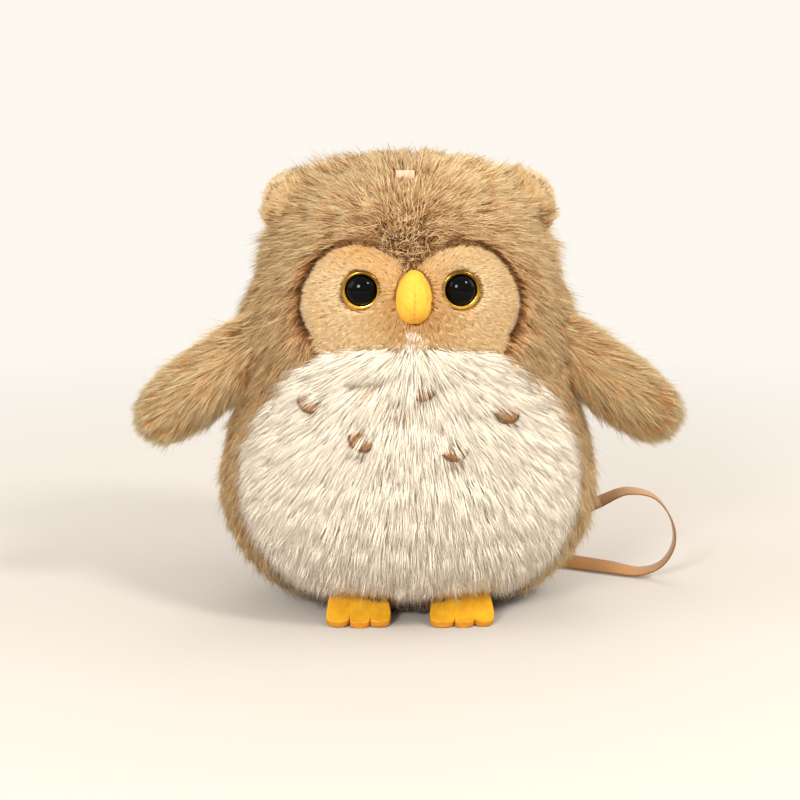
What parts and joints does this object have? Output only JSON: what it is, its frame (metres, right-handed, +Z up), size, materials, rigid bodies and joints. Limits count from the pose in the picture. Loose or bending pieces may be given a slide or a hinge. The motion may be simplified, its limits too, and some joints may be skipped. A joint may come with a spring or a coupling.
{
  "type": "plush owl",
  "caption": "Sitting stuffed owl with a one-piece pear body, cream belly, sewn wings and ears that swing, domed eyes, felt beak and feet, and a ribbon loop.",
  "frame": {"origin": "centre of the flat base panel, on the surface that the toy sits on", "axes": "+Z up to the crown, -Y the way the face looks, +X towards the toy's own left wing"},
  "size_m": [0.2659, 0.1649, 0.218],
  "materials": {
    "brown_plush": "long pile",
    "cream_plush": "long pile",
    "face_plush": "short pile",
    "ear_plush": "short pile",
    "base_plush": "short pile",
    "mark_plush": "short pile with a stitched edge",
    "yellow_felt": "felt",
    "orange_felt": "felt",
    "filling": "loose fibre",
    "black_plastic": "polished",
    "brass_rim": "polished",
    "washer_plastic": "moulded",
    "tan_ribbon": "ribbed ribbon with a slight sheen",
    "woven_tape": "woven"
  },
  "bodies": {
    "body": {"base_panel": "base_plush", "belly_panel": "cream_plush", "face_panel": "face_plush", "hood_panel": "brown_plush", "side_panel_left": "brown_plush", "side_panel_right": "brown_plush", "back_panel_left": "brown_plush", "back_panel_right": "brown_plush", "body_filling": "filling", "head_filling": "filling", "eye_left_dome": "black_plastic", "eye_left_rim": "brass_rim", "eye_left_washer": "washer_plastic", "eye_right_dome": "black_plastic", "eye_right_rim": "brass_rim", "eye_right_washer": "washer_plastic", "beak_half_left": "yellow_felt", "beak_half_right": "yellow_felt", "beak_filling": "filling", "foot_left": "orange_felt", "foot_right": "orange_felt", "breast_mark_outer_right": "mark_plush", "breast_mark_inner_right": "mark_plush", "breast_mark_middle": "mark_plush", "breast_mark_inner_left": "mark_plush", "breast_mark_outer_left": "mark_plush", "crown_tab": "woven_tape", "ribbon_loop": "tan_ribbon"},
    "wing_left": {"wing_left_front": "brown_plush", "wing_left_back": "brown_plush", "wing_left_filling": "filling"},
    "wing_right": {"wing_right_front": "brown_plush", "wing_right_back": "brown_plush", "wing_right_filling": "filling"},
    "ear_left": {"ear_left_inner": "ear_plush", "ear_left_outer": "brown_plush"},
    "ear_right": {"ear_right_inner": "ear_plush", "ear_right_outer": "brown_plush"}
  },
  "joints": [
    {"name": "wing_left_swing", "type": "hinge", "parent": "body", "child": "wing_left", "pos_m": [0.07837, -0.014, 0.124], "axis": [-0.1461, 0, 0.9893], "range_deg": [-60, 30], "stiffness_Nm_per_rad": 0.02},
    {"name": "wing_right_swing", "type": "hinge", "parent": "body", "child": "wing_right", "pos_m": [-0.07837, -0.014, 0.124], "axis": [-0.1461, 0, -0.9893], "range_deg": [-60, 30], "stiffness_Nm_per_rad": 0.02},
    {"name": "ear_left_fold", "type": "hinge", "parent": "body", "child": "ear_left", "pos_m": [0.05408, -0.009, 0.1955], "axis": [-0.6691, 0, 0.7431], "range_deg": [-30, 30], "stiffness_Nm_per_rad": 0.01},
    {"name": "ear_right_fold", "type": "hinge", "parent": "body", "child": "ear_right", "pos_m": [-0.05408, -0.009, 0.1955], "axis": [0.6691, 0, 0.7431], "range_deg": [-30, 30], "stiffness_Nm_per_rad": 0.01}
  ]
}
